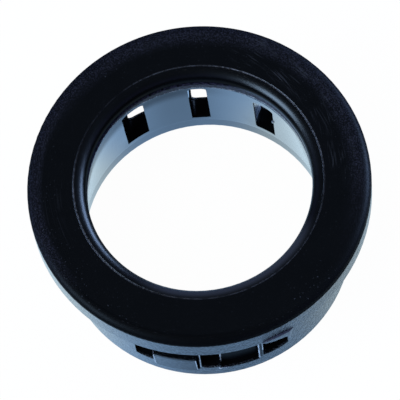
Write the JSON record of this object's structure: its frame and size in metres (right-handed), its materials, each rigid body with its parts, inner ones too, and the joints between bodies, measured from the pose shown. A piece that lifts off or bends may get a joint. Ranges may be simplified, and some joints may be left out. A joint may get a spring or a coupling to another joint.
{
  "type": "snap bushing",
  "caption": "Flanged ring that snaps into a round panel hole, with a rounded bore lip, side windows and barbs on its hub, and guards the cable passing through.",
  "frame": {"origin": "centre of the hub's foot, in the plane that the bushing stands on", "axes": "+Z along the bore, from the foot to the flange's face; the windows and barbs face -Y and +Y"},
  "size_m": [0.0198, 0.0198, 0.0091],
  "materials": {
    "black_nylon": "moulded nylon, satin to gloss"
  },
  "bodies": {
    "root": {"bushing": "black_nylon"}
  },
  "joints": []
}
